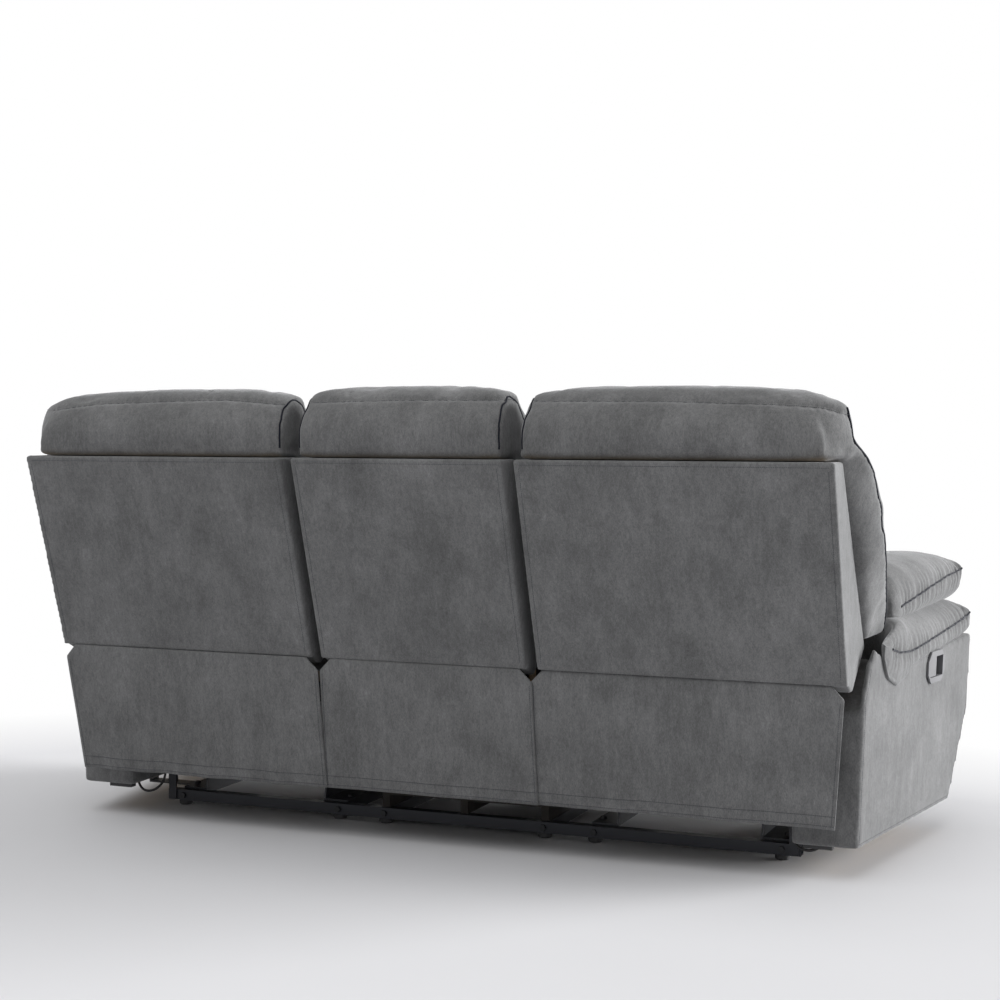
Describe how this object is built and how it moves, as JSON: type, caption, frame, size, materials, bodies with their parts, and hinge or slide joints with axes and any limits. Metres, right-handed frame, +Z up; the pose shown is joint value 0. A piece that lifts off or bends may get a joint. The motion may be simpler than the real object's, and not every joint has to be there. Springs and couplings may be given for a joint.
{
  "type": "reclining sofa",
  "caption": "Upholstered sofa with padded arms on a steel base, whose end seats recline, slide forward and lift a hinged footrest, each from a pull handle in its arm.",
  "frame": {"origin": "on the floor, under the middle of the sofa's bounding box", "axes": "+X towards the sitter's left arm, +Y towards the back, +Z up; the sofa faces -Y"},
  "size_m": [2.1248, 0.94, 1.0142],
  "materials": {
    "grey_microsuede": "matt, napped",
    "black_cloth": "matt",
    "black_steel": "satin",
    "spring_steel": "oiled",
    "zinc_steel": "zinc plated",
    "timber": "raw",
    "black_plastic": "matt",
    "grey_plastic": "satin",
    "cable_jacket": "satin"
  },
  "bodies": {
    "base": {"base_rear_rail": "black_steel", "base_front_rail": "black_steel", "base_side_rails": "black_steel", "base_glides": "black_plastic", "base_brackets": "black_steel", "base_arm_supports": "black_steel", "base_bolts": "zinc_steel", "centre_seat_frame": "timber", "centre_seat_springs": "spring_steel", "centre_seat_cushion": "grey_microsuede", "centre_front_panel": "grey_microsuede", "centre_back_frame": "timber", "centre_back_cushion": "grey_microsuede", "centre_head_roll": "grey_microsuede", "centre_back_shell": "grey_microsuede", "centre_rear_skirt": "grey_microsuede", "left_arm_frame": "timber", "left_arm_cover": "grey_microsuede", "left_arm_lower_pillow": "grey_microsuede", "left_arm_upper_pillow": "grey_microsuede", "left_handle_bezel": "grey_plastic", "left_release_cable": "cable_jacket", "right_arm_frame": "timber", "right_arm_cover": "grey_microsuede", "right_arm_lower_pillow": "grey_microsuede", "right_arm_upper_pillow": "grey_microsuede", "right_handle_bezel": "grey_plastic", "right_release_cable": "cable_jacket"},
    "left_rear_links": {"left_rear_swing_links": "zinc_steel"},
    "left_front_links": {"left_front_swing_links": "zinc_steel"},
    "left_seat": {"left_seat_carriage": "black_steel", "left_seat_frame": "timber", "left_seat_springs": "spring_steel", "left_seat_cushion": "grey_microsuede"},
    "left_back": {"left_back_frame": "timber", "left_back_cushion": "grey_microsuede", "left_head_roll": "grey_microsuede", "left_back_shell": "grey_microsuede", "left_rear_skirt": "grey_microsuede"},
    "left_lower_foot_links": {"left_footrest_lower_links": "black_steel"},
    "left_upper_foot_links": {"left_footrest_upper_links": "black_steel"},
    "left_footrest": {"left_footrest_board": "timber", "left_footrest_cushion": "grey_microsuede"},
    "left_handle": {"left_handle_lever": "grey_plastic"},
    "right_rear_links": {"right_rear_swing_links": "zinc_steel"},
    "right_front_links": {"right_front_swing_links": "zinc_steel"},
    "right_seat": {"right_seat_carriage": "black_steel", "right_seat_frame": "timber", "right_seat_springs": "spring_steel", "right_seat_cushion": "grey_microsuede"},
    "right_back": {"right_back_frame": "timber", "right_back_cushion": "grey_microsuede", "right_head_roll": "grey_microsuede", "right_back_shell": "grey_microsuede", "right_rear_skirt": "grey_microsuede"},
    "right_lower_foot_links": {"right_footrest_lower_links": "black_steel"},
    "right_upper_foot_links": {"right_footrest_upper_links": "black_steel"},
    "right_footrest": {"right_footrest_board": "timber", "right_footrest_cushion": "grey_microsuede"},
    "right_handle": {"right_handle_lever": "grey_plastic"}
  },
  "joints": [
    {"name": "left_rear_swing", "type": "hinge", "parent": "base", "child": "left_rear_links", "pos_m": [0.5275, 0.06, 0.15], "axis": [1, 0, 0], "range_deg": [0, 24]},
    {"name": "left_front_swing", "type": "hinge", "parent": "base", "child": "left_front_links", "pos_m": [0.5275, -0.15, 0.15], "axis": [1, 0, 0], "range_deg": [0, 24]},
    {"name": "left_seat_level", "type": "hinge", "parent": "left_rear_links", "child": "left_seat", "pos_m": [0.5275, 0.08287, 0.2576], "axis": [1, 0, 0], "range_deg": [-24, 0]},
    {"name": "left_recline", "type": "hinge", "parent": "left_seat", "child": "left_back", "pos_m": [0.5275, 0.2, 0.33], "axis": [-1, 0, 0], "range_deg": [0, 30], "deforming": ["left_rear_skirt"]},
    {"name": "left_footrest_swing", "type": "hinge", "parent": "left_seat", "child": "left_lower_foot_links", "pos_m": [0.5275, -0.315, 0.252], "axis": [-1, 0, 0], "range_deg": [0, 90]},
    {"name": "left_footrest_knee", "type": "hinge", "parent": "left_lower_foot_links", "child": "left_upper_foot_links", "pos_m": [0.5275, -0.34626, 0.07473], "axis": [-1, 0, 0], "range_deg": [-180, 0]},
    {"name": "left_footrest_tilt", "type": "hinge", "parent": "left_upper_foot_links", "child": "left_footrest", "pos_m": [0.5275, -0.31153, 0.2717], "axis": [-1, 0, 0], "range_deg": [0, 180]},
    {"name": "left_handle_pull", "type": "hinge", "parent": "base", "child": "left_handle", "pos_m": [1.00262, -0.14628, 0.39219], "axis": [0.0394, 0.0032, 0.9992], "range_deg": [0, 35], "stiffness_Nm_per_rad": 0.4, "springref_deg": -8.59},
    {"name": "right_rear_swing", "type": "hinge", "parent": "base", "child": "right_rear_links", "pos_m": [-0.5275, 0.06, 0.15], "axis": [1, 0, 0], "range_deg": [0, 24]},
    {"name": "right_front_swing", "type": "hinge", "parent": "base", "child": "right_front_links", "pos_m": [-0.5275, -0.15, 0.15], "axis": [1, 0, 0], "range_deg": [0, 24]},
    {"name": "right_seat_level", "type": "hinge", "parent": "right_rear_links", "child": "right_seat", "pos_m": [-0.5275, 0.08287, 0.2576], "axis": [1, 0, 0], "range_deg": [-24, 0]},
    {"name": "right_recline", "type": "hinge", "parent": "right_seat", "child": "right_back", "pos_m": [-0.5275, 0.2, 0.33], "axis": [-1, 0, 0], "range_deg": [0, 30], "deforming": ["right_rear_skirt"]},
    {"name": "right_footrest_swing", "type": "hinge", "parent": "right_seat", "child": "right_lower_foot_links", "pos_m": [-0.5275, -0.315, 0.252], "axis": [-1, 0, 0], "range_deg": [0, 90]},
    {"name": "right_footrest_knee", "type": "hinge", "parent": "right_lower_foot_links", "child": "right_upper_foot_links", "pos_m": [-0.5275, -0.34626, 0.07473], "axis": [-1, 0, 0], "range_deg": [-180, 0]},
    {"name": "right_footrest_tilt", "type": "hinge", "parent": "right_upper_foot_links", "child": "right_footrest", "pos_m": [-0.5275, -0.31153, 0.2717], "axis": [-1, 0, 0], "range_deg": [0, 180]},
    {"name": "right_handle_pull", "type": "hinge", "parent": "base", "child": "right_handle", "pos_m": [-1.00262, -0.14628, 0.39219], "axis": [0.0394, -0.0032, -0.9992], "range_deg": [0, 35], "stiffness_Nm_per_rad": 0.4, "springref_deg": -8.59}
  ],
  "couplings": [
    {"joint": "left_rear_swing", "follows": "left_recline", "ratio": 0.8},
    {"joint": "left_front_swing", "follows": "left_recline", "ratio": 0.8},
    {"joint": "left_seat_level", "follows": "left_recline", "ratio": -0.8},
    {"joint": "left_footrest_knee", "follows": "left_footrest_swing", "ratio": -2},
    {"joint": "left_footrest_tilt", "follows": "left_footrest_swing", "ratio": 2},
    {"joint": "right_rear_swing", "follows": "right_recline", "ratio": 0.8},
    {"joint": "right_front_swing", "follows": "right_recline", "ratio": 0.8},
    {"joint": "right_seat_level", "follows": "right_recline", "ratio": -0.8},
    {"joint": "right_footrest_knee", "follows": "right_footrest_swing", "ratio": -2},
    {"joint": "right_footrest_tilt", "follows": "right_footrest_swing", "ratio": 2}
  ]
}
